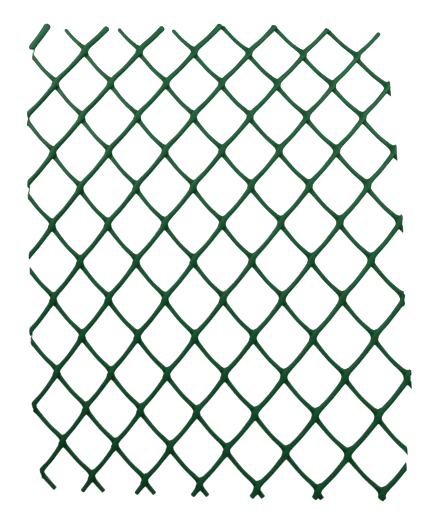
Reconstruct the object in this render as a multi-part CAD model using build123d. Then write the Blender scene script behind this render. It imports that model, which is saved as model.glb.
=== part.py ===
"""A panel of green extruded polyethylene diamond netting, cut from a roll.

The netting comes out of two die rings that turn opposite ways.  The outer ring
lays down the front strands, the inner ring the back strands, and every crossing
is welded while the plastic is hot.  Both layers have a flat inner face, and all
these flat faces lie on one middle surface.  The panel still has the bow of the
roll, and stands on three of its corners.

Mesh coordinates: `column` counts diamonds from the left cut edge and `row` counts
crossings from the top cut edge.  Crossings lie at whole columns on odd rows and
at half columns on even rows.  Front strands run down to the left, back strands
down to the right.
"""
import os
from math import ceil, cos, floor, hypot, radians, sin

from build123d import *

# Diamonds, weld to weld
CELL_WIDTH = 30.5
CELL_HEIGHT = 39.6
LEAN = -0.008            # sideways shift of the diamonds for each millimetre up
COLUMNS = 6.5
LAST_ROW = 13
CORNER_STRETCH = 2.4     # how far the lower right corner is pulled out to the right

# Strands
FRONT_WIDTH = 2.55
FRONT_HEIGHT = 1.9
BACK_WIDTH = 2.3
BACK_HEIGHT = 1.8
WELD_FLARE = 0.85        # how much wider a strand is at its welds
FRONT_TOP_SWELL = 0.9    # front strands are this much wider at the top edge
TOP_SWELL_FADE = 0.3     # less for each strand to the right of the third
BACK_TOP_SWELL = -0.3
TOP_SWELL_ROWS = 1.5     # rows over which that change of width fades out
CORNER_SWELL = 0.9       # the short front strand in the top left corner is wider still
FRONT_LIFT = 0.9         # how far a strand rises just before it dives into a weld
BACK_LIFT = 1.3
LIFT_POWER = 6           # the rise peaks at 6/7 of the way down to the weld
THINNEST_AT = 0.45       # the neck's place between two welds

# The web squeezed into the upper crotch of a weld
WEB_THICKNESS = 1.4
WEB_DEPTH = 0.4          # its middle lies this far below the middle surface
WEB_TOP = 5.0            # from the crossing's middle up to the crotch
WEB_FLAT = 2.4           # the straight middle part of its top edge
WEB_START = 0.45         # it leaves the strands this much further up than their width
WEB_END = 7.25           # and meets them again this far up along them

# Bow of the sheet: a cylinder whose axis is turned in the sheet's plane
BOW_RADIUS = 410.0
BOW_SKEW = -25.0

# Cut edges.  At the sides: how far right of the middle of its outermost crossing the
# knife passed each row.  At the top and bottom: a row that changes with the column.
LEFT_CUTS = {1: 1.7, 3: 0.8, 5: 2.1, 7: 2.8, 9: 1.8, 11: 0.2, 13: 0.5}
LEFT_SLANT = 1.0         # the left cut lies this much further right in the front layer
RIGHT_CUTS = {2: 1.9, 4: 1.8, 6: 2.1, 8: 0.5, 10: 2.2, 12: -2.4}
TOP_CUT = 0.235
TOP_CUT_SLOPE = -0.037
BOTTOM_CUT = 13.45
BOTTOM_CUT_SLOPE = -0.065
BOTTOM_TRIMS = {"front": 0.3, "back": -0.6}  # mm off each layer's ends, negative for longer ones
EDGE_TIES = (1, 5, 9)                # rows where a thread still joins two ends at the left cut
TIE_WIDTH = 0.6
TIE_LENGTH = 5.0
TIE_THICKNESS = 0.6
CORNER_ROW = 0.9                     # where the top left front strand is torn from its weld
CORNER_SWING = 11.0                  # degrees it has swung round its torn end

# Millimetres that the knife took off a strand below the top cut line, or left above it
TOP_TRIMS = {"front_strand_04": -2.4, "front_strand_05": -2.3, "front_strand_06": -0.7,
             "front_strand_07": 1.2, "back_strand_01": -0.8, "back_strand_02": -1.2,
             "back_strand_03": -2.4, "back_strand_04": 1.0}

STATIONS = (0.0, 0.3, 0.62, 0.88)    # where a strand's section is set, between welds
SECTION = ((-0.75, 0.0), (-1.0, 0.35), (-0.55, 1.0), (0.55, 1.0), (1.0, 0.35), (0.75, 0.0))
SHORTEST_PIECE = 0.12    # rows; a section is never set closer than this to a cut end
SLOPE_STEP = 0.05        # rows each side, for a strand's direction
REST_STEPS = 8           # tries at finding which corner points touch the floor

MIDDLE_COLUMN = 3.5
MIDDLE_ROW = 7.0
STRAND_PITCH = hypot(CELL_WIDTH / 2, CELL_HEIGHT / 2)


class Strand:
    """One strand of one layer: column = start_column + side * row / 2."""

    def __init__(self, layer, number):
        front = layer == "front"
        self.layer = layer
        self.name = f"{layer}_strand_{number:02d}"
        self.side = -1 if front else 1
        self.start_column = number - 0.5 if front else COLUMNS - number
        self.up = 1 if front else -1
        self.width = FRONT_WIDTH if front else BACK_WIDTH
        self.height = FRONT_HEIGHT if front else BACK_HEIGHT
        self.lift = FRONT_LIFT if front else BACK_LIFT
        self.swell = FRONT_TOP_SWELL - TOP_SWELL_FADE * max(0, number - 3) if front else BACK_TOP_SWELL
        self.swing = 0.0
        self.first_row, self.last_row = self.cut_rows()
        if self.name == "front_strand_01":
            self.swell += CORNER_SWELL
            self.swing = radians(CORNER_SWING)
            self.last_row = CORNER_ROW
            self.side_ends = (False, False)

    def column(self, row):
        return self.start_column + self.side * row / 2

    def side_cut(self, cuts, middle_column, slant):
        """The row where a side cut ends this strand, if the strand reaches that side."""
        crossing_row = round((middle_column - self.start_column) * 2 * self.side)
        if crossing_row not in cuts:
            return None
        cut_column = middle_column + (cuts[crossing_row] + slant * self.up / 2) / CELL_WIDTH
        return (cut_column - self.start_column) * 2 * self.side

    def cut_rows(self):
        """The rows where the cut edges end this strand."""
        top = (TOP_CUT + TOP_CUT_SLOPE * self.start_column) / (1 - TOP_CUT_SLOPE * self.side / 2)
        top += TOP_TRIMS.get(self.name, 0.0) / STRAND_PITCH
        bottom = BOTTOM_CUT + BOTTOM_CUT_SLOPE * self.start_column
        bottom = bottom / (1 - BOTTOM_CUT_SLOPE * self.side / 2)
        bottom -= BOTTOM_TRIMS[self.layer] / STRAND_PITCH
        at_left = self.side_cut(LEFT_CUTS, 0.0, LEFT_SLANT)
        at_right = self.side_cut(RIGHT_CUTS, COLUMNS, 0.0)
        entry, leave = (at_left, at_right) if self.side > 0 else (at_right, at_left)
        self.side_ends = (entry is not None, leave is not None)
        return (top if entry is None else entry), (bottom if leave is None else leave)

    def flat_point(self, row):
        """The strand's middle line in the flattened sheet, with its rise before each weld."""
        part = row - floor(row)
        peak = LIFT_POWER / (LIFT_POWER + 1)
        rise = self.lift * part**LIFT_POWER * (1 - part) / (peak**LIFT_POWER * (1 - peak))
        x, y = flat_crossing(self.column(row), row)
        x += self.side * rise * CELL_HEIGHT / (2 * STRAND_PITCH)
        y += rise * CELL_WIDTH / (2 * STRAND_PITCH)
        if self.swing:
            pivot_x, pivot_y = flat_crossing(self.column(CORNER_ROW), CORNER_ROW)
            away_x, away_y = x - pivot_x, y - pivot_y
            x = pivot_x + away_x * cos(self.swing) - away_y * sin(self.swing)
            y = pivot_y + away_x * sin(self.swing) + away_y * cos(self.swing)
        return x, y

    def section(self, row, in_side_cut=False):
        """Corners of the D-shaped section, its flat side on the middle surface.

        The section is square to the run, or lies in the straight cut down a side.
        """
        x, y = self.flat_point(row)
        x_before, y_before = self.flat_point(row - SLOPE_STEP)
        x_after, y_after = self.flat_point(row + SLOPE_STEP)
        length = hypot(x_after - x_before, y_after - y_before)
        across = ((y_before - y_after) / length, (x_after - x_before) / length)
        if in_side_cut:
            across = (0.0, self.side * STRAND_PITCH / (CELL_WIDTH / 2))
        spread = (row - floor(row) - THINNEST_AT) / (1 - THINNEST_AT)
        swell = self.swell * max(0, 1 - row / TOP_SWELL_ROWS)
        half_width = (self.width + WELD_FLARE * spread**2 + swell) / 2
        frame = SurfaceFrame(x, y)
        return [frame.point(across[0] * side * half_width, across[1] * side * half_width,
                            self.up * rise * self.height) for side, rise in SECTION]

    def sections(self):
        """All the sections, from the top cut end to the bottom one."""
        inner = [whole + part for whole in range(floor(self.first_row), ceil(self.last_row))
                 for part in STATIONS]
        low = self.first_row + SHORTEST_PIECE
        high = self.last_row - SHORTEST_PIECE
        return ([self.section(self.first_row, self.side_ends[0])]
                + [self.section(row) for row in inner if low < row < high]
                + [self.section(self.last_row, self.side_ends[1])])

    def solid(self):
        """Flat triangles between each section and the next, closed by the two cut ends."""
        sections = self.sections()
        faces = [flat_face(sections[0]), flat_face(sections[-1])]
        for above, below in zip(sections, sections[1:]):
            for corner in range(len(SECTION)):
                following = (corner + 1) % len(SECTION)
                faces.append(flat_face([above[corner], above[following], below[following]]))
                faces.append(flat_face([above[corner], below[following], below[corner]]))
        return Solid(Shell(faces))


class SurfaceFrame:
    """A point of the bowed middle surface, with the surface's own directions there."""

    def __init__(self, x, y):
        turn = radians(BOW_SKEW)
        along = x * cos(turn) + y * sin(turn)
        angle = (y * cos(turn) - x * sin(turn)) / BOW_RADIUS
        round_bow = BOW_RADIUS * sin(angle)
        drop = BOW_RADIUS * (cos(angle) - 1)
        axis = Vector(cos(turn), sin(turn), 0)
        level = Vector(-sin(turn), cos(turn), 0)
        self.origin = axis * along + level * round_bow + Vector(0, 0, drop)
        downhill = level * cos(angle) - Vector(0, 0, sin(angle))
        self.x = axis * cos(turn) - downhill * sin(turn)
        self.y = axis * sin(turn) + downhill * cos(turn)
        self.up = level * sin(angle) + Vector(0, 0, cos(angle))

    def point(self, x, y, z):
        return self.origin + self.x * x + self.y * y + self.up * z


def flat_face(corners):
    return Face(Wire.make_polygon(corners))


def flat_crossing(column, row):
    """A mesh coordinate in the flattened sheet, measured from the sheet's middle."""
    y = (MIDDLE_ROW - row) * CELL_HEIGHT / 2
    to_right = min(1.0, max(0.0, column - MIDDLE_COLUMN) / (COLUMNS - 0.5 - MIDDLE_COLUMN))
    to_bottom = max(0.0, row - MIDDLE_ROW) / (LAST_ROW - MIDDLE_ROW)
    stretch = CORNER_STRETCH * to_right**2 * to_bottom**2
    return (column - MIDDLE_COLUMN) * CELL_WIDTH + LEAN * y + stretch, y


def web_plate(column, row, outline, depth, thickness):
    """A small plate at a crossing, before the strands are cut from it.

    Its outline is in the flattened sheet, measured from the crossing.
    """
    frame = SurfaceFrame(*flat_crossing(column, row))
    face = flat_face([frame.point(x, y, -depth - thickness / 2) for x, y in outline])
    return Solid.extrude(face, frame.up * thickness)


def upper_web(column, row, left, right):
    """The web between two strands that come down to a crossing, out to their middle lines.

    At the right edge the cut went through it, so it ends there.
    """
    x, y = flat_crossing(column, row)
    leave = row - (FRONT_WIDTH + WEB_START) / STRAND_PITCH
    meet = row - WEB_END / STRAND_PITCH
    corners = [left.flat_point(leave), left.flat_point(meet), (x - WEB_FLAT / 2, y + WEB_TOP)]
    if column == COLUMNS:
        cut_x, cut_y = flat_crossing(COLUMNS + RIGHT_CUTS[row] / CELL_WIDTH, row)
        corners += [(cut_x, y + WEB_TOP), (cut_x, cut_y)]
    else:
        corners += [(x + WEB_FLAT / 2, y + WEB_TOP), right.flat_point(meet), right.flat_point(leave)]
    return [(corner_x - x, corner_y - y) for corner_x, corner_y in corners]


def edge_tie(row):
    """The thread that still joins two strand ends where the left cut split a weld."""
    left = LEFT_CUTS[row] + LEFT_SLANT / 2
    return [(left, TIE_LENGTH / 2), (left + TIE_WIDTH, TIE_LENGTH / 2),
            (left + TIE_WIDTH, -TIE_LENGTH / 2), (left, -TIE_LENGTH / 2)]


def whole_columns(row):
    """Columns of a row's whole crossings."""
    first = 1.0 if row % 2 else 0.5
    columns = [first + column for column in range(int(COLUMNS))]
    if RIGHT_CUTS.get(row, 0) > 0:
        columns.append(COLUMNS)
    return columns


def strands_at(column, row):
    """The numbers of the front and the back strand that meet at a crossing."""
    return round(column + row / 2 + 0.5), round(COLUMNS - column + row / 2)


def row_of_welds(row, strands, solids):
    """All the web pieces of one row of crossings, each cut to fit round its two strands."""
    plates = []
    for column in whole_columns(row):
        front, back = strands_at(column, row)
        outline = upper_web(column, row, strands["back"][back], strands["front"][front])
        plates.append((column, outline, WEB_DEPTH, WEB_THICKNESS))
    if row in EDGE_TIES:
        plates.append((0.0, edge_tie(row), 0.0, TIE_THICKNESS))
    pieces = []
    for column, outline, depth, thickness in plates:
        web = web_plate(column, row, outline, depth, thickness)
        front, back = strands_at(column, row)
        for strand in (solids["front"][front], solids["back"][back]):
            web = web.cut(strand)
        pieces += web.solids()
    return pieces


def resting_plane(points):
    """The plane through three corners of the sheet that every other point is above."""
    normal = Vector(0, 0, 1)
    for _ in range(REST_STEPS):
        feet = []
        for side, end in ((-1, 1), (1, 1), (-1, -1)):
            corner = [p for p in points if p.X * side > 0 and p.Y * end > 0]
            feet.append(min(corner, key=normal.dot))
        normal = (feet[1] - feet[0]).cross(feet[0] - feet[2]).normalized()
    return Plane(origin=feet[0], x_dir=Vector(0, 1, 0).cross(normal), z_dir=normal)


def standing_plane(strands):
    """The floor under the sheet, with its origin under the middle of the sheet's box."""
    points = [corner for strand in strands for section in strand.sections() for corner in section]
    floor_plane = resting_plane(points)
    placed = [floor_plane.to_local_coords(point) for point in points]
    low = Vector(*(min(getattr(p, axis) for p in placed) for axis in "XYZ"))
    high = Vector(*(max(getattr(p, axis) for p in placed) for axis in "XYZ"))
    middle = Vector((low.X + high.X) / 2, (low.Y + high.Y) / 2, low.Z)
    return Plane(origin=floor_plane.from_local_coords(middle),
                 x_dir=floor_plane.x_dir, z_dir=floor_plane.z_dir)


def all_strands():
    return {layer: {number: Strand(layer, number) for number in range(1, LAST_ROW + 1)}
            for layer in ("front", "back")}


def main():
    strands = all_strands()
    solids = {layer: {number: strand.solid() for number, strand in family.items()}
              for layer, family in strands.items()}
    nodes = {strand.name: [solids[layer][number]] for layer, family in strands.items()
             for number, strand in family.items()}
    for row in range(1, LAST_ROW + 1):
        nodes[f"weld_row_{row:02d}"] = row_of_welds(row, strands, solids)

    floor_plane = standing_plane([s for family in strands.values() for s in family.values()])
    os.makedirs("parts", exist_ok=True)
    for name, pieces in nodes.items():
        placed = [floor_plane.to_local_coords(piece) for piece in pieces]
        export_step(Compound(children=placed) if len(placed) > 1 else placed[0], f"parts/{name}.step")
        print(name, len(placed), "solids", round(sum(piece.volume for piece in placed), 2), "mm3")


if __name__ == "__main__":
    main()
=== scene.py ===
# %% [markdown]
# # Extruded diamond netting
#
# The object is a panel of green plastic netting, cut from a roll.  It is made in one
# go by two die rings that turn opposite ways: the outer ring lays down one set of
# strands, the inner ring the other, and they weld wherever they cross.  So it is
# built here in the same way: each strand is its own long surface, and each row of
# welds is a piece with the plastic that was squeezed into the crotches.
#
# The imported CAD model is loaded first, because it fixes every size and place.

import bpy
import numpy as np
from mathutils import Matrix, Vector


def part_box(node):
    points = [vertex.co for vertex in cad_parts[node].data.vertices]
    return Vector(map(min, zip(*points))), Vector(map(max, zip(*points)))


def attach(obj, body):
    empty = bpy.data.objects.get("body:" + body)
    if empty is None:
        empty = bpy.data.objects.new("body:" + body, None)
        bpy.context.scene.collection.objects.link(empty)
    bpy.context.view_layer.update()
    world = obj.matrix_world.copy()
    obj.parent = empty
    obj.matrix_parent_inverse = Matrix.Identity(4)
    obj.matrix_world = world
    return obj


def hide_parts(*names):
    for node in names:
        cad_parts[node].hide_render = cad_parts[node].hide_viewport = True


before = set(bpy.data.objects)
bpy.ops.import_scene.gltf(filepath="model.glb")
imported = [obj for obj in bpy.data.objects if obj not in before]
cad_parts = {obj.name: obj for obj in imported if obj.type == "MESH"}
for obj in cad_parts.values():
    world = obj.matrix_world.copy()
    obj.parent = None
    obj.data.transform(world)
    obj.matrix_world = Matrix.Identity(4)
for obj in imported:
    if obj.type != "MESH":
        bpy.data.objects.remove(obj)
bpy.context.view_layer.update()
print("nodes in the frame:", len(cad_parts))

# %% [markdown]
# ## Mesh coordinates
#
# A net is easiest to describe by counting.  `column` counts diamonds from the left cut
# edge and `row` counts crossings from the top cut edge, so every strand is a straight
# line in these two numbers.  The diamonds are 30.5 by 39.6 mm from weld to weld, which
# is a 25 mm mesh side, a common size for this netting.

# %% The diamonds and the cut edges
CELL_WIDTH = 30.5  # mm
CELL_HEIGHT = 39.6  # mm
LEAN = -0.008  # mm to the side for each mm up the sheet
COLUMNS = 6.5  # diamonds between the outermost crossings
ROWS = 13
MIDDLE = (3.5, 7.0)  # the column and row of the sheet's middle
STRAND_PITCH = np.hypot(CELL_WIDTH / 2, CELL_HEIGHT / 2)  # mm from weld to weld

# Where the knife passed each row, in mm right of the middle of its outermost crossing.
LEFT_CUTS = {1: 1.7, 3: 0.8, 5: 2.1, 7: 2.8, 9: 1.8, 11: 0.2, 13: 0.5}
LEFT_SLANT = 1.0  # the left cut lies this much further right in the front layer
RIGHT_CUTS = {2: 1.9, 4: 1.8, 6: 2.1, 8: 0.5, 10: 2.2, 12: -2.4}
# The top and bottom cuts: their row at column 0, and how many rows they gain for each column.
TOP_CUT, TOP_SLOPE = 0.235, -0.037
BOTTOM_CUT, BOTTOM_SLOPE = 13.45, -0.065
# What was snipped off the ends besides, in mm, negative for the ends that were left longer.
BOTTOM_TRIMS = {"front": 0.3, "back": -0.6}
TOP_TRIMS = {"front_strand_04": -2.4, "front_strand_05": -2.3, "front_strand_06": -0.7,
             "front_strand_07": 1.2, "back_strand_01": -0.8, "back_strand_02": -1.2,
             "back_strand_03": -2.4, "back_strand_04": 1.0}
CORNER_STRETCH = 2.4  # mm


def flat_place(column, row):
    """Mesh coordinates to millimetres on the flattened sheet, from its middle.

    The lower right corner is pulled out by stretch * (share to the right)^2 * (share down)^2,
    where the share to the right goes no higher than one.
    """
    y = (MIDDLE[1] - row) * CELL_HEIGHT / 2
    to_right = np.clip((column - MIDDLE[0]) / (COLUMNS - 0.5 - MIDDLE[0]), 0, 1)
    to_bottom = np.maximum(0, row - MIDDLE[1]) / (ROWS - MIDDLE[1])
    stretch = CORNER_STRETCH * to_right**2 * to_bottom**2
    return (column - MIDDLE[0]) * CELL_WIDTH + LEAN * y + stretch, y


print("one strand runs", round(float(STRAND_PITCH), 2), "mm from weld to weld")

# %% [markdown]
# ## The bow of the roll
#
# Netting that comes off a roll keeps some of its curl.  The sheet could be bent by a
# modifier, but then the small parts would have to be bent with it.  Instead one
# function takes any point of the flattened sheet straight to its place on a cylinder.
# The same function then stands the sheet on its three lowest corners: the floor is a
# plane that is tipped a little against the sheet's middle.

# %% From the flat sheet to the standing, bowed one
MM_PER_METRE = 1000
BOW_RADIUS = 410.0  # mm
BOW_SKEW = np.radians(-25.0)  # the cylinder's axis, turned from across the sheet
STAND_NORMAL = Vector((0.126789, -0.085562, 0.988233))  # of the floor under the three corners
STAND_ORIGIN = Vector((-10.5977, 6.67732, -31.5633))  # mm, where the frame's origin lies
STAND_X = Vector((0, 1, 0)).cross(STAND_NORMAL).normalized()
STAND_AXES = np.array([STAND_X, STAND_NORMAL.cross(STAND_X), STAND_NORMAL])


def bowed(x, y, height):
    """Flat millimetres and a height above the middle surface to metres in the frame.

    Distance along the cylinder's axis stays as it is.  Distance round the cylinder
    becomes an angle, distance / radius, and the point lies at radius + height.
    """
    along = x * np.cos(BOW_SKEW) + y * np.sin(BOW_SKEW)
    angle = (y * np.cos(BOW_SKEW) - x * np.sin(BOW_SKEW)) / BOW_RADIUS
    level = (BOW_RADIUS + height) * np.sin(angle)
    up = (BOW_RADIUS + height) * np.cos(angle) - BOW_RADIUS
    points = np.stack([along * np.cos(BOW_SKEW) - level * np.sin(BOW_SKEW),
                       along * np.sin(BOW_SKEW) + level * np.cos(BOW_SKEW), up], axis=-1)
    return (points - np.array(STAND_ORIGIN)) @ STAND_AXES.T / MM_PER_METRE


middle = bowed(np.array(0.0), np.array(0.0), np.array(0.0))
print("the sheet's middle stands", round(float(middle[2]) * MM_PER_METRE, 1), "mm above the floor")

# %% [markdown]
# ## One strand
#
# A strand is a rod with a D-shaped section, flat where the two layers meet.  It is
# narrowest between welds and flares into them.  Its path is nearly straight, but the
# hot plastic was dragged sideways at each weld, so it rises a little just before a
# weld and then dives into it.  All of this is a function of the row, so a strand is
# worked out as one grid of points: rows along it and a turn round its section.

# %% The two layers
# side is -1 for strands that run down to the left, and up is where the domed face points.
# The rest is in mm: width and height of the section, the most that the path rises sideways,
# and how much wider a strand is at the top edge, negative where it is thinner there.
FRONT = {"layer": "front", "side": -1, "up": 1, "width": 2.55, "height": 1.9,
         "lift": 0.9, "swell": 0.9}
BACK = {"layer": "back", "side": 1, "up": -1, "width": 2.3, "height": 1.8,
        "lift": 1.3, "swell": -0.3}
FADE_FROM, SWELL_FADE = 3, 0.3  # mm less swell for each front strand to the right of the third
CORNER_ROW = 0.9  # where the top left front strand is torn from its weld
CORNER_SWING = np.radians(11.0)  # how far that piece has swung round
CORNER_SWELL = 0.9  # mm that it is wider still


def strand_facts(layer, number):
    """The strand's first and last rows, from the cut edges, and which ends a side cut made."""
    facts = dict(layer, number=number, name=f"{layer['layer']}_strand_{number:02d}", swing=0.0)
    side = facts["side"]
    facts["start"] = start = number - 0.5 if side < 0 else COLUMNS - number
    top = (TOP_CUT + TOP_SLOPE * start) / (1 - TOP_SLOPE * side / 2)
    top += TOP_TRIMS.get(facts["name"], 0.0) / STRAND_PITCH
    bottom = (BOTTOM_CUT + BOTTOM_SLOPE * start) / (1 - BOTTOM_SLOPE * side / 2)
    bottom -= BOTTOM_TRIMS[facts["layer"]] / STRAND_PITCH
    at_left, at_right = round(-start * 2 * side), round((COLUMNS - start) * 2 * side)
    left = right = None
    if at_left in LEFT_CUTS:
        cut = LEFT_CUTS[at_left] + facts["up"] * LEFT_SLANT / 2
        left = (cut / CELL_WIDTH - start) * 2 * side
    if at_right in RIGHT_CUTS:
        right = (COLUMNS + RIGHT_CUTS[at_right] / CELL_WIDTH - start) * 2 * side
    entry, leave = (left, right) if side > 0 else (right, left)
    facts["rows"] = (top if entry is None else entry, bottom if leave is None else leave)
    facts["side_ends"] = (entry is not None, leave is not None)
    if side < 0:
        facts["swell"] -= SWELL_FADE * max(0, number - FADE_FROM)
    if facts["name"] == "front_strand_01":
        facts.update(swing=CORNER_SWING, swell=facts["swell"] + CORNER_SWELL,
                     rows=(facts["rows"][0], CORNER_ROW), side_ends=(False, False))
    return facts


fronts = [strand_facts(FRONT, number) for number in range(1, ROWS + 1)]
backs = [strand_facts(BACK, number) for number in range(1, ROWS + 1)]
for facts in (fronts[6], backs[6]):
    print(facts["name"], "runs over rows", [round(row, 2) for row in facts["rows"]])

# %% Where a strand runs
LIFT_POWER = 6  # the higher, the later the rise before a weld
SOFTENING = np.linspace(-0.05, 0.05, 7)  # rows over which the path is averaged


def rise(facts, row):
    """Sideways rise in mm: part^power * (1 - part), scaled so that its peak is the lift."""
    row = np.asarray(row)[..., None] + SOFTENING
    part = row - np.floor(row)
    peak = LIFT_POWER / (LIFT_POWER + 1)
    wave = part**LIFT_POWER * (1 - part) / (peak**LIFT_POWER * (1 - peak))
    return facts["lift"] * wave.mean(axis=-1)


def strand_line(facts, row):
    """The strand's middle line on the flattened sheet: a straight run plus the rise."""
    side = facts["side"]
    x, y = flat_place(facts["start"] + side * row / 2, row)
    lift = rise(facts, row)
    x = x + side * lift * CELL_HEIGHT / (2 * STRAND_PITCH)
    y = y + lift * CELL_WIDTH / (2 * STRAND_PITCH)
    if facts["swing"]:
        pivot_x, pivot_y = flat_place(facts["start"] + side * CORNER_ROW / 2, CORNER_ROW)
        away_x, away_y = x - pivot_x, y - pivot_y
        x = pivot_x + away_x * np.cos(facts["swing"]) - away_y * np.sin(facts["swing"])
        y = pivot_y + away_x * np.sin(facts["swing"]) + away_y * np.cos(facts["swing"])
    return x, y


rows = np.linspace(3, 4, 5)
print("rise from weld to weld, front layer:", rise(fronts[6], rows).round(2), "mm")

# %% [markdown]
# ## The width of a strand
#
# The width follows the same idea.  Real netting is hauled off the die by rollers, and
# the pull pulses a little, so the width also wavers by about two in a hundred.  The
# wavering is a sum of two sines whose phase comes from the strand's number, so every
# run of this file gives the same netting.  Right at a weld the two hot strands were
# pressed into each other and spread once more, which rounds the corners between them.

# %% How wide a strand is
WELD_FLARE = 0.85  # mm wider at a weld than at the thinnest part
THINNEST_AT = 0.45  # rows below a weld
SWELL_ROWS = 1.5  # rows over which the top edge's swell dies out
WAVER = 0.02
WAVER_LENGTHS = (9.0, 23.0)  # mm between pulses
PHASE_STEP = 2.4  # radians from one strand's pulses to the next one's
WELD_SPREAD, SPREAD_REACH = 0.8, 0.055  # mm, and rows to either side of the weld


def half_width(facts, row):
    """Half of the sum of four widths.

    They are the strand's own, flare * (distance from the thinnest part)^2, a bell at
    each weld, spread * exp(-(distance / reach)^2), and the top edge's swell.
    """
    spread_rows = np.asarray(row)[..., None] + SOFTENING
    part = spread_rows - np.floor(spread_rows)
    spread = ((part - THINNEST_AT) / (1 - THINNEST_AT))**2
    swell = facts["swell"] * np.maximum(0, 1 - row / SWELL_ROWS)
    bell = 0.0 if facts["swing"] else WELD_SPREAD * np.exp(-((row - np.round(row)) / SPREAD_REACH)**2)
    phase = facts["number"] * PHASE_STEP + facts["side"]
    run = row * STRAND_PITCH * 2 * np.pi
    waver = 1 + WAVER / 2 * sum(np.sin(run / length + phase * length) for length in WAVER_LENGTHS)
    return (facts["width"] * waver + WELD_FLARE * spread.mean(axis=-1) + bell + swell) / 2


print("half widths from weld to weld, back layer:", half_width(backs[6], rows).round(2), "mm")

# %% [markdown]
# ## The section
#
# The section could be a circle squashed flat on one side, but the die's slot leaves
# a domed outer face, round shoulders and a nearly flat inner face.  A superellipse
# gives this: powers of the sine and cosine below one push the curve out into its
# corners, and the lower half gets a smaller power and less height than the upper.

# %% The D-shaped section
TURNS = 24  # points round the section
DOME_POWER, FLAT_POWER = 2 / 2.3, 2 / 4.5  # one would be a plain ellipse
SHOULDER = 0.35  # the widest place, as a share of the height
FUSED = 0.06  # how far the inner face runs into the other layer, as a share of the height


def d_section(count):
    """Across and up, as shares: sign * |cos|^p, and shoulder + reach * sign * |sin|^p."""
    angle = np.arange(count) * 2 * np.pi / count + np.pi / count
    upper = np.sin(angle) > 0
    power = np.where(upper, DOME_POWER, FLAT_POWER)
    across = np.sign(np.cos(angle)) * np.abs(np.cos(angle))**power
    reach = np.where(upper, 1 - SHOULDER, SHOULDER + FUSED)
    return across, SHOULDER + np.sign(np.sin(angle)) * np.abs(np.sin(angle))**power * reach


section_across, section_up = d_section(TURNS)
print("up the section:", section_up.min().round(2), "to", section_up.max().round(2), "of the height")

# %% [markdown]
# ## Ends
#
# A cut end is not a mathematical plane: shears leave its rim slightly rolled, and the
# stubs along the top edge are quite round.  So the last few rings get smaller in a
# quarter circle.  Where the knife ran straight down a side, the end lies in that cut
# and is slanted to the strand, so each point of the section is slid along the strand
# until it lies in the cut.

# %% The rings of a strand
RING_STEP = 0.04  # rows, about 1 mm
RIM_RINGS = 6
CUT_RIM = (0.3, np.radians(48))  # radius in mm, and where on the quarter circle it starts
ROUND_RIM = (1.5, np.radians(10))
CORNER_RIM = (1.9, np.radians(8))
CORNER_DRAWN = 0.03  # rows that the corner piece's rounded ends reach past its cut and its tear


def rings(facts):
    """Rows of all the rings and the size of each, with a quarter circle at both ends."""
    first, last = facts["rows"]
    if facts["swing"]:
        first, last = first - CORNER_DRAWN, last + CORNER_DRAWN
    ends = []
    for at_side, low_edge in zip(facts["side_ends"], (False, True)):
        radius, start = CUT_RIM if at_side or low_edge else ROUND_RIM
        if facts["swing"]:
            radius, start = CORNER_RIM
        turn = np.linspace(start, np.pi / 2, RIM_RINGS)
        ends.append((radius * (np.cos(start) - np.cos(turn)) / STRAND_PITCH, np.sin(turn)))
    (near, near_size), (far, far_size) = ends
    count = max(3, int(round((last - first) / RING_STEP)))
    inner = np.linspace(first + near[-1], last - far[-1], count)[1:-1]
    row = np.concatenate([first + near, inner, (last - far)[::-1]])
    return row, np.concatenate([near_size, np.ones(len(inner)), far_size[::-1]])


_, sample_size = rings(fronts[6])
print("sizes of the first rings:", sample_size[:RIM_RINGS].round(2))

# %% A strand as a grid of points
SLIDE_ROWS = 0.35  # how far from a side cut the rings start to slant
DIRECTION_ROWS = 0.03  # rows before and after a ring, between which its direction is taken
RIM_LEVEL = 0.45  # the level that a smaller ring shrinks to, as a share of the height


def strand_points(facts):
    """The grid of a strand's points in metres, and its UV in millimetres across and along.

    A ring's point is its line's point + across * (the direction turned left), and a level.
    """
    row, size = rings(facts)
    first, last = facts["rows"]
    wide = half_width(facts, row)
    across = section_across[None, :] * (wide * size)[:, None]
    up = RIM_LEVEL + (section_up[None, :] - RIM_LEVEL) * size[:, None]
    slide = -facts["side"] * across * CELL_HEIGHT / CELL_WIDTH / STRAND_PITCH
    near = np.maximum(0, 1 - (row - first) / SLIDE_ROWS)**2 * facts["side_ends"][0]
    far = np.maximum(0, 1 - (last - row) / SLIDE_ROWS)**2 * facts["side_ends"][1]
    slid_row = row[:, None] + slide * (near + far)[:, None]
    x, y = strand_line(facts, slid_row)
    before = strand_line(facts, row - DIRECTION_ROWS)
    after = strand_line(facts, row + DIRECTION_ROWS)
    run = np.stack([after[0] - before[0], after[1] - before[1]], axis=-1)
    run /= np.linalg.norm(run, axis=-1, keepdims=True)
    x = x - run[:, 1:] * across
    y = y + run[:, :1] * across
    points = bowed(x, y, facts["up"] * up * facts["height"])
    girth = np.linspace(0, 2 * (facts["width"] + facts["height"]), TURNS + 1)
    return points, girth, row * STRAND_PITCH


sample_points, _, sample_along = strand_points(fronts[6])
print("front strand 7:", len(sample_points), "rings,", round(float(np.ptp(sample_along))), "mm long")

# %% [markdown]
# ## From a grid to a mesh
#
# Each grid is closed round its section and gets a many-sided face at both ends, so it
# is a watertight solid like the real strand.  Its signed volume tells whether its
# faces point outwards: if the volume comes out negative, every face is turned.

# %% Faces of a tube


def closed_tube(points):
    """Faces of a ring-by-ring grid: quads between rings, and one face at each end."""
    count, turns = points.shape[:2]
    ring = np.arange(count - 1)[:, None] * turns
    here, following = np.arange(turns)[None, :], (np.arange(turns)[None, :] + 1) % turns
    quads = np.stack([ring + here, ring + following, ring + turns + following, ring + turns + here],
                     axis=-1).reshape(-1, 4)
    caps = [np.arange(turns)[::-1], np.arange(turns) + (count - 1) * turns]
    return quads, caps


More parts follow.
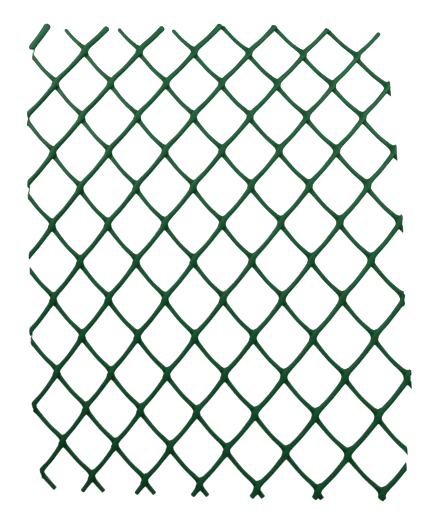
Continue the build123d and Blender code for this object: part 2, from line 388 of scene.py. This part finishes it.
def tube_uv(count, turns, girth, along):
    """One UV pair for each corner of each face, in the order of closed_tube's faces."""
    grid = (count - 1, turns)
    low, high = (np.broadcast_to(edge[:, None], grid) for edge in (along[:-1], along[1:]))
    left, right = (np.broadcast_to(edge, grid) for edge in (girth[:-1], girth[1:]))
    quads = np.stack([left, low, right, low, right, high, left, high], axis=-1).reshape(-1, 2)
    caps = [np.stack([girth[:-1][::-1], np.full(turns, along[0])], axis=-1),
            np.stack([girth[:-1], np.full(turns, along[-1])], axis=-1)]
    return np.concatenate([quads] + caps)


def signed_volume(points, quads):
    """Sum over the triangles of corner . (corner x corner) / 6, in cubic metres."""
    corners = points.reshape(-1, 3)[np.concatenate([quads[:, [0, 1, 2]], quads[:, [0, 2, 3]]])]
    return np.einsum("ij,ij->i", corners[:, 0], np.cross(corners[:, 1], corners[:, 2])).sum() / 6


sample_quads, sample_caps = closed_tube(sample_points)
print("front strand 7:", len(sample_quads), "quads and", len(sample_caps), "end faces")

# %% One object from one or more tubes


def solid_mesh(name, tubes):
    """One object from a list of tubes: points, girth, along, and the shares of painted light and painted
    shade.

    The share of painted light, a paler green on a thin thread, is one number for a tube.
    The share of painted shade, a deeper green at the welds, is one number or one for each ring.
    Both become attributes that the plastic reads.  A tube's middle is moved to the
    origin to take its volume, because the end faces are left out of the sum.
    """
    places, faces, coordinates, thin_lit, weld_shading, offset = [], [], [], [], [], 0
    for points, girth, along, thin_and_lit, squeezed_and_shaded in tubes:
        count, turns = points.shape[:2]
        quads, caps = closed_tube(points)
        uv = tube_uv(count, turns, girth, along)
        if signed_volume(points - points.mean(axis=(0, 1)), quads) < 0:
            quads, caps = quads[:, ::-1], [cap[::-1] for cap in caps]
            sizes = [4] * len(quads) + [len(cap) for cap in caps]
            uv = np.concatenate([part[::-1] for part in np.split(uv, np.cumsum(sizes)[:-1])])
        faces += (quads + offset).tolist() + [(cap + offset).tolist() for cap in caps]
        places.append(points.reshape(-1, 3))
        thin_lit.append(np.full(count * turns, thin_and_lit))
        weld_shading.append(np.repeat(np.broadcast_to(squeezed_and_shaded, count), turns))
        coordinates.append(uv)
        offset += count * turns
    mesh = bpy.data.meshes.new(name)
    mesh.from_pydata(np.concatenate(places).tolist(), [], faces)
    layer = mesh.uv_layers.new(name="girth_and_run")
    layer.uv.foreach_set("vector", np.concatenate(coordinates).ravel())
    for attribute, values in (("thin_and_lit", thin_lit), ("squeezed_and_shaded", weld_shading)):
        kept = mesh.attributes.new(attribute, "FLOAT", "POINT")
        kept.data.foreach_set("value", np.concatenate(values))
    mesh.polygons.foreach_set("use_smooth", np.array([len(face) == 4 for face in faces]))
    piece = bpy.data.objects.new(name, mesh)
    bpy.context.scene.collection.objects.link(piece)
    return piece


print("a piece carries the UV map girth_and_run and the attributes thinness and squeezed")

# %% [markdown]
# Every strand is now made in one loop.  Each piece is kept with the CAD node that it
# stands for, and its box is compared with that node's box: the two are drawn by
# different formulas, so they should agree to about a strand's roundness, not exactly.

# %% All the strands
WELD_SHADE_REACH = 0.09  # rows to either side of a weld over which the painted shade, a deeper green, reaches

pieces = {}
for facts in fronts + backs:
    points, girth, along = strand_points(facts)
    row = along / STRAND_PITCH
    # Painted shade: a deeper green, strongest at each weld where the strands cross.
    squeezed_and_shaded = (0.0 if facts["swing"] else 1.0) * np.exp(-((row - np.round(row)) / WELD_SHADE_REACH)**2)
    piece = solid_mesh(facts["name"] + "_extruded", [(points, girth, along, 0.0, squeezed_and_shaded)])
    pieces[piece.name] = (piece, facts["name"], facts["layer"] + "_strand")

off = []
for piece, node, slot in pieces.values():
    low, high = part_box(node)
    places = np.array([vertex.co for vertex in piece.data.vertices])
    off.append(max(np.abs(places.min(0) - np.array(low)).max(),
                   np.abs(places.max(0) - np.array(high)).max()))
print("strands:", len(pieces))
print("farthest from its CAD node's box:", round(max(off) * MM_PER_METRE, 2), "mm")

# %% [markdown]
# ## The webs in the welds
#
# Where two strands come down together, hot plastic is squeezed out between them and
# leaves a small web with a round upper edge.  It could be cut from a flat plate, but
# a squeezed web is thick in the middle and rounded all over.  So it is an oval carried
# along a shallow U from one strand to the other, thinner towards both ends, which
# sink into the strands.  At the right-hand edge the knife went through the welds, so
# there the oval stops in the cut.

# %% Carrying an oval along a path
WEB_STEPS, WEB_TURNS = 11, 12  # ovals along a web, and points round each


def carried_oval(x, y, radius, thick, height):
    """An oval (radius * cos across the path, thick * sin up) carried along a flat path."""
    run = np.stack([np.gradient(x), np.gradient(y)], axis=-1)
    run /= np.linalg.norm(run, axis=-1, keepdims=True)
    angle = np.arange(WEB_TURNS) * 2 * np.pi / WEB_TURNS
    across = radius[:, None] * np.cos(angle)
    flat_x, flat_y = x[:, None] - run[:, 1:] * across, y[:, None] + run[:, :1] * across
    points = bowed(flat_x, flat_y, height + thick[:, None] * np.sin(angle))
    along = np.concatenate([[0], np.hypot(np.diff(x), np.diff(y)).cumsum()])
    return points, np.linspace(0, 2 * np.pi * float(radius.max()), WEB_TURNS + 1), along


print("an oval has", WEB_TURNS, "points, and a web has", WEB_STEPS, "ovals")

# %% The web in an upper crotch
WEB_TOP = 5.0  # mm, from the crossing's middle up to the crotch
WEB_RADIUS = 1.5  # mm, half the oval's width
WEB_THICK = 0.85  # mm, half the oval's height
WEB_DEPTH = 0.35  # mm that the web's middle lies under the sheet's middle surface
LEAVE_ROWS = 0.27  # rows above the weld at which the web leaves the strands
U_POWER = 1.4  # one would be a V, and two a parabola
SLIMMING, SLIMMING_POWER = 0.4, 2.2  # what an oval has lost at the end of an arm


def upper_web(column, row, back, front, cut=None):
    """A U from the back strand's line, round the crotch, to the front strand's line.

    Its height is low + |turn|^power * (arm's end - low), and its ovals get smaller by
    1 - slimming * |turn|^power.  At the cut edge the right arm is missing: the web runs
    level to the cut and stops there.
    """
    x, y = flat_place(column, row)
    low = y + WEB_TOP - WEB_RADIUS
    left, right = (np.array(strand_line(facts, row - LEAVE_ROWS)) for facts in (back, front))
    if cut is not None:
        right = np.array([flat_place(COLUMNS + cut / CELL_WIDTH, row)[0], low])
    turn = np.linspace(-1, 1, WEB_STEPS)
    reach = np.where(turn < 0, x - left[0], right[0] - x)
    end = np.where(turn < 0, left[1], right[1])
    path_x = x + turn * reach
    path_y = low + np.abs(turn)**U_POWER * (end - low)
    tapered = turn if cut is None else np.minimum(turn, 0)
    slimmer = 1 - SLIMMING * np.abs(tapered)**SLIMMING_POWER
    return carried_oval(path_x, path_y, WEB_RADIUS * slimmer, WEB_THICK * slimmer, -WEB_DEPTH)


print("a web is", WEB_TOP, "mm above its crossing and", 2 * WEB_THICK, "mm thick")

# %% [markdown]
# At the left-hand edge the knife split the welds.  Three of them still hold by a
# drawn-out thread of plastic, so thin that light comes through it; that light is
# painted on as a paler green.  Such a thread is narrowest half-way, so it is the same
# round section carried along a short path, with a waist.

# %% The threads at the left cut
THREAD_ROWS = (1, 5, 9)
THREAD_LENGTH, THREAD_RADIUS = 5.6, 0.6  # mm
THREAD_WAIST = 0.6  # the middle's share of the radius
THREAD_BULGE = 0.2  # mm that its middle bends to the right
THREAD_DRIFT = 2 / 3  # how much of the cut's slant it follows, from the upper end to the lower


def thread(row):
    """A thread from the front layer's cut end down to the back layer's.

    Its radius is radius * (waist + (1 - waist) * place^2), and place is 0 half-way.
    """
    place = np.linspace(-1, 1, WEB_STEPS)
    x, y = flat_place((LEFT_CUTS[row] + LEFT_SLANT / 2) / CELL_WIDTH, row)
    path_x = x - THREAD_DRIFT * LEFT_SLANT * (1 + place) / 2 + THREAD_BULGE * (1 - place**2)
    radius = THREAD_RADIUS * (THREAD_WAIST + (1 - THREAD_WAIST) * place**2)
    return carried_oval(path_x, y - place * THREAD_LENGTH / 2, radius, radius, 0.0)


print("threads at rows", THREAD_ROWS)

# %% [markdown]
# The welds of one row are one piece with many small solids, as they are one node in
# the CAD.  Odd rows have their first crossing in the left cut, so their webs start one
# diamond in.  Even rows have their last crossing in the right cut, and it gets a cut web
# where the knife left enough of the weld.

# %% All the rows of welds
for row in range(1, ROWS + 1):
    columns = [(1.0 if row % 2 else 0.5) + step for step in range(int(COLUMNS))]
    if RIGHT_CUTS.get(row, 0) > 0:
        columns.append(COLUMNS)
    tubes = []
    for column in columns:
        # The two strands whose lines go through this crossing.
        front = fronts[round(column + row / 2 + 0.5) - 1]
        back = backs[round(COLUMNS - column + row / 2) - 1]
        cut = RIGHT_CUTS[row] if column == COLUMNS else None
        # A web lies wholly in the painted shade of its weld and gets no painted light.
        tubes.append(upper_web(column, row, back, front, cut) + (0.0, 1.0))
    if row in THREAD_ROWS:
        # Painted light: a thread gets the paler green for the light coming through it.
        tubes.append(thread(row) + (1.0, 0.0))
    piece = solid_mesh(f"weld_row_{row:02d}_squeezed", tubes)
    pieces[piece.name] = (piece, f"weld_row_{row:02d}", "weld_web")

face_count = sum(len(piece.data.polygons) for piece, _, _ in pieces.values())
print("pieces:", len(pieces), "faces:", face_count)

# %% [markdown]
# ## The plastic
#
# The netting is polyethylene coloured in the mass, extruded and left as it came from
# the die.  It is a soft, waxy gloss: highlights are broad, not sharp.  Along the run
# the die's edge leaves fine lines, the haul-off leaves faint ripples across, and the
# pigment is not quite even.  The welds and the plastic round them get a deeper green,
# which is painted shade where the strands cross and in the crotches.
# Colours are written as sRGB hex, and one function turns them to linear light.

# %% Colour and one helper for nodes


def linear(hex_colour):
    """sRGB hex to linear RGBA: ((s + 0.055) / 1.055)^2.4 above 0.04045, s / 12.92 below."""
    value = np.array([int(hex_colour[i:i + 2], 16) for i in (1, 3, 5)]) / 255
    light = np.where(value > 0.04045, ((value + 0.055) / 1.055)**2.4, value / 12.92)
    return (*light.tolist(), 1.0)


def add_node(tree, kind, inputs=None, **settings):
    """Adds a node, sets its properties, then sets or links each input given."""
    node = tree.nodes.new(kind)
    for name, value in settings.items():
        setattr(node, name, value)
    for socket, value in (inputs or {}).items():
        if isinstance(value, bpy.types.NodeSocket):
            tree.links.new(value, node.inputs[socket])
        else:
            node.inputs[socket].default_value = value
    return node


print("half grey, #808080, is", round(linear("#808080")[0], 3), "in linear light")

# %% Extruded polyethylene
DIE_LINE, DIE_LINE_LENGTH = 0.35, 40.0  # mm; finer in fact, drawn coarser so that they show
RIPPLE, RIPPLE_WIDTH = 1.4, 6.0  # mm between haul-off ripples, and how far one goes round
MOTTLE = 9.0  # mm across a patch of uneven pigment
PATCH_LOW, PATCH_HIGH = 0.35, 0.65  # noise at which one green has turned to the other
DULL_LOW, DULL_HIGH = 0.3, 0.7  # noise at which a ripple is glossiest and dullest
LINE_DEPTH, RIPPLE_DEPTH = 0.06, 0.08  # mm, halved by the bump's strength
BUMP_STRENGTH = 0.5
POLYETHYLENE_IOR = 1.51
WAXY_GLOSS = 0.2  # specular level, under the usual 0.5, because the skin is waxy
GLOSSIER, DULLER = 0.06, 0.08  # how far the roughness goes either way
# The first green is painted shade at the welds: deeper where the strands cross and in the crotches.
# The second green is painted light: it is paler, for the light coming through the thin threads.
WELD_SHADE_GREEN, THREAD_LIT_GREEN = "#0F6733", "#649A7C"
# A Mix node has the same socket names for numbers and for colours, so its colour sockets
# are named by their place: the share, the two colours, and the result.
SHARE, COLOUR_A, COLOUR_B, MIXED = 0, 6, 7, 2


def extruded_polyethylene(name, green, deep_green, roughness):
    """Waxy coloured plastic with die lines, ripples and slightly uneven pigment, painted shade round the
    welds and painted light on the thin threads.

    The UV map is in millimetres, so a pattern's scale there is 1 / its size in mm.
    """
    material = bpy.data.materials.new(name)
    material.use_nodes = True
    tree = material.node_tree
    tree.nodes.clear()
    run = add_node(tree, "ShaderNodeUVMap", uv_map="girth_and_run")
    place = add_node(tree, "ShaderNodeTexCoord")
    # Long in the run and narrow round the girth: lines left by the die.
    stretched = add_node(tree, "ShaderNodeMapping",
                         {"Vector": run.outputs["UV"], "Scale": (1 / DIE_LINE, 1 / DIE_LINE_LENGTH, 1)})
    lines = add_node(tree, "ShaderNodeTexNoise",
                     {"Vector": stretched.outputs["Vector"], "Scale": 1.0, "Detail": 2.0})
    # The other way round: ripples left by the haul-off.
    squashed = add_node(tree, "ShaderNodeMapping",
                        {"Vector": run.outputs["UV"], "Scale": (1 / RIPPLE_WIDTH, 1 / RIPPLE, 1)})
    ripples = add_node(tree, "ShaderNodeTexNoise",
                       {"Vector": squashed.outputs["Vector"], "Scale": 1.0, "Detail": 1.0})
    patches = add_node(tree, "ShaderNodeTexNoise",
                       {"Vector": place.outputs["Object"], "Scale": MM_PER_METRE / MOTTLE,
                        "Detail": 3.0})
    # Uneven pigment: patches of the deeper green.
    patchy = add_node(tree, "ShaderNodeMapRange", {"Value": patches.outputs["Fac"],
                                                   "From Min": PATCH_LOW, "From Max": PATCH_HIGH})
    pigment = add_node(tree, "ShaderNodeMix",
                       {SHARE: patchy.outputs["Result"], COLOUR_A: linear(deep_green),
                        COLOUR_B: linear(green)}, data_type="RGBA")
    # Painted shade in and round a weld, where the strands cross and in the crotches: a deeper green, and
    # more so the nearer the weld.
    squeezed_and_shaded = add_node(tree, "ShaderNodeAttribute", attribute_name="squeezed_and_shaded")
    tint = add_node(tree, "ShaderNodeMix",
                    {SHARE: squeezed_and_shaded.outputs["Fac"], COLOUR_A: pigment.outputs[MIXED],
                     COLOUR_B: linear(WELD_SHADE_GREEN)}, data_type="RGBA")
    # Painted light: drawn-out threads are so thin that light comes through, so they are painted a paler
    # green.
    thin_lit = add_node(tree, "ShaderNodeAttribute", attribute_name="thin_and_lit")
    colour = add_node(tree, "ShaderNodeMix",
                      {SHARE: thin_lit.outputs["Fac"], COLOUR_A: tint.outputs[MIXED],
                       COLOUR_B: linear(THREAD_LIT_GREEN)}, data_type="RGBA")
    # Gloss: duller on some ripples, where the melt left the die rough.
    dull = add_node(tree, "ShaderNodeMapRange",
                    {"Value": ripples.outputs["Fac"], "From Min": DULL_LOW, "From Max": DULL_HIGH,
                     "To Min": roughness - GLOSSIER, "To Max": roughness + DULLER})
    line_bump = add_node(tree, "ShaderNodeBump",
                         {"Height": lines.outputs["Fac"], "Strength": BUMP_STRENGTH,
                          "Distance": LINE_DEPTH / MM_PER_METRE})
    bump = add_node(tree, "ShaderNodeBump",
                    {"Height": ripples.outputs["Fac"], "Strength": BUMP_STRENGTH,
                     "Distance": RIPPLE_DEPTH / MM_PER_METRE, "Normal": line_bump.outputs["Normal"]})
    shader = add_node(tree, "ShaderNodeBsdfPrincipled",
                      {"Base Color": colour.outputs[MIXED], "Roughness": dull.outputs["Result"],
                       "IOR": POLYETHYLENE_IOR, "Specular IOR Level": WAXY_GLOSS,
                       "Normal": bump.outputs["Normal"]})
    add_node(tree, "ShaderNodeOutputMaterial", {"Surface": shader.outputs["BSDF"]})
    return material


plastics = {
    "front_strand": extruded_polyethylene("extruded_polyethylene_front", "#1F7C49", "#1A6E40", 0.4),
    "back_strand": extruded_polyethylene("extruded_polyethylene_back", "#1E7A47", "#196C3E", 0.4),
    # The welds' own greens are a darker copy of the strands' greens: painted shade.
    "weld_web": extruded_polyethylene("squeezed_polyethylene_weld_shaded", "#18703C", "#146335", 0.48),
}
print("materials:", sorted(plastics))

# %% [markdown]
# Each piece now gets its plastic, rides on the one body, and stands for its CAD node.
# Nothing on this panel turns or slides, so one body is enough.

# %% Dress every piece
for piece, node, slot in pieces.values():
    piece.data.materials.append(plastics[slot])
    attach(piece, "root")
    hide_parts(node)
print("dressed", len(pieces), "pieces in", len(plastics), "materials")

# %% [markdown]
# ## Floor
#
# The netting is shown as on a light table: the floor is pale and evenly bright, so
# the strands stand out and cast no visible shadow.  It is a wide flat disc whose edge
# curves up to a wall, so low views see the same pale ground with no horizon.  It gives
# the camera its light only: it is left out of the netting's gloss and bounce light,
# which would wash the green out from below.

# %% Floor
FLOOR_RADIUS, RIM_RADIUS = 2.0, 1.6  # metres: the flat part, and the curve up to a wall
FLOOR_SPOKES, RIM_STEPS = 64, 12
HUB_RADIUS = 0.001  # metres, closed with one small face
OPAL_WHITE, OPAL_ROUGHNESS, OPAL_GLOW = "#F4F4F2", 0.9, 0.95

bend = np.linspace(0, np.pi / 2, RIM_STEPS)
out = np.concatenate([[HUB_RADIUS], FLOOR_RADIUS + RIM_RADIUS * np.sin(bend)])
height = np.concatenate([[0.0], RIM_RADIUS * (1 - np.cos(bend))])
spoke = np.arange(FLOOR_SPOKES) * 2 * np.pi / FLOOR_SPOKES
dish = np.stack([out[:, None] * np.cos(spoke), out[:, None] * np.sin(spoke),
                 np.broadcast_to(height[:, None], (len(out), FLOOR_SPOKES))], axis=-1)
dish_quads, dish_caps = closed_tube(dish)
floor_mesh = bpy.data.meshes.new("light_table")
floor_mesh.from_pydata(dish.reshape(-1, 3).tolist(), [], dish_quads.tolist() + [dish_caps[0].tolist()])
floor_mesh.polygons.foreach_set("use_smooth", np.ones(len(floor_mesh.polygons), dtype=bool))
light_table = bpy.data.objects.new("light_table", floor_mesh)
bpy.context.scene.collection.objects.link(light_table)
opal = bpy.data.materials.new("opal_light_table")
opal.use_nodes = True
opal_shader = opal.node_tree.nodes["Principled BSDF"]
opal_shader.inputs["Base Color"].default_value = linear(OPAL_WHITE)
opal_shader.inputs["Roughness"].default_value = OPAL_ROUGHNESS
opal_shader.inputs["Emission Color"].default_value = (1, 1, 1, 1)
opal_shader.inputs["Emission Strength"].default_value = OPAL_GLOW
floor_mesh.materials.append(opal)
light_table.visible_glossy = False
light_table.visible_diffuse = False
print("floor of", 2 * FLOOR_RADIUS, "m, with a wall curved up round it")

# %% [markdown]
# ## Light
#
# One big soft box straight above would light every strand alike.  Here two smaller ones
# stand beyond the top edge, to its left and its right, close enough that the light falls
# off down the sheet.  Each gives a broad, waxy highlight along one set of strands, and
# the room is dim, so the flanks that face away go deep green.

# %% Light
ROOM_LOW, ROOM_HIGH = 0.07, 0.16  # the room's strength level with the floor, and overhead
BOX_WIDTH = 0.35  # metres
KEY_PLACE, KEY_WATTS = (-0.33, 0.36, 0.32), 1.37
FILL_PLACE, FILL_WATTS = (0.34, 0.34, 0.32), 1.22

bpy.context.scene.view_settings.view_transform = "Standard"
world = bpy.data.worlds.new("dim_room")
world.use_nodes = True
bpy.context.scene.world = world
room = world.node_tree
room.nodes.clear()
direction = add_node(room, "ShaderNodeTexCoord")
parts = add_node(room, "ShaderNodeSeparateXYZ", {"Vector": direction.outputs["Generated"]})
above = add_node(room, "ShaderNodeMapRange", {"Value": parts.outputs["Z"], "From Min": 0.0,
                                              "From Max": 1.0, "To Min": ROOM_LOW, "To Max": ROOM_HIGH})
sky = add_node(room, "ShaderNodeBackground", {"Color": (1, 1, 1, 1), "Strength": above.outputs["Result"]})
add_node(room, "ShaderNodeOutputWorld", {"Surface": sky.outputs["Background"]})


def soft_box(name, place, watts):
    """A square area light that faces the middle of the netting."""
    light = bpy.data.lights.new(name, "AREA")
    light.shape = "SQUARE"
    light.size = BOX_WIDTH
    light.energy = watts
    box = bpy.data.objects.new(name, light)
    box.location = place
    box.rotation_euler = Vector(place).to_track_quat("Z", "Y").to_euler()
    bpy.context.scene.collection.objects.link(box)


soft_box("key_box", KEY_PLACE, KEY_WATTS)
soft_box("fill_box", FILL_PLACE, FILL_WATTS)

# %% [markdown]
# ## Camera
#
# The camera hangs over the sheet and looks down, a little from the left.  Its axes are
# set directly: backward is where it looks away from, rightward is square to that and to
# a direction close to the frame's Y, and upward is square to both.

# %% Camera
LENS_SHARE = 1.28332  # focal length as a share of the picture's height
SENSOR_HEIGHT = 24.0  # mm
NEAREST = 0.01  # metres, nearer than any strand
EYE = Vector((-0.00995, -0.00152, 0.37457))  # metres
BACKWARD = Vector((-0.04191, -0.00372, 0.99911)).normalized()
ROUGHLY_UP = Vector((-0.00264, 1.0, 0.0036))

camera_data = bpy.data.cameras.new("overhead_camera")
camera_data.sensor_fit = "VERTICAL"
camera_data.sensor_height = SENSOR_HEIGHT
camera_data.lens = SENSOR_HEIGHT * LENS_SHARE
camera_data.clip_start = NEAREST
camera = bpy.data.objects.new("overhead_camera", camera_data)
rightward = ROUGHLY_UP.cross(BACKWARD).normalized()
turned = Matrix((rightward, BACKWARD.cross(rightward), BACKWARD)).transposed().to_4x4()
camera.matrix_world = Matrix.Translation(EYE) @ turned
bpy.context.scene.collection.objects.link(camera)
bpy.context.scene.camera = camera
print("camera", round(EYE.z * MM_PER_METRE), "mm above the floor, lens", round(camera_data.lens, 1), "mm")
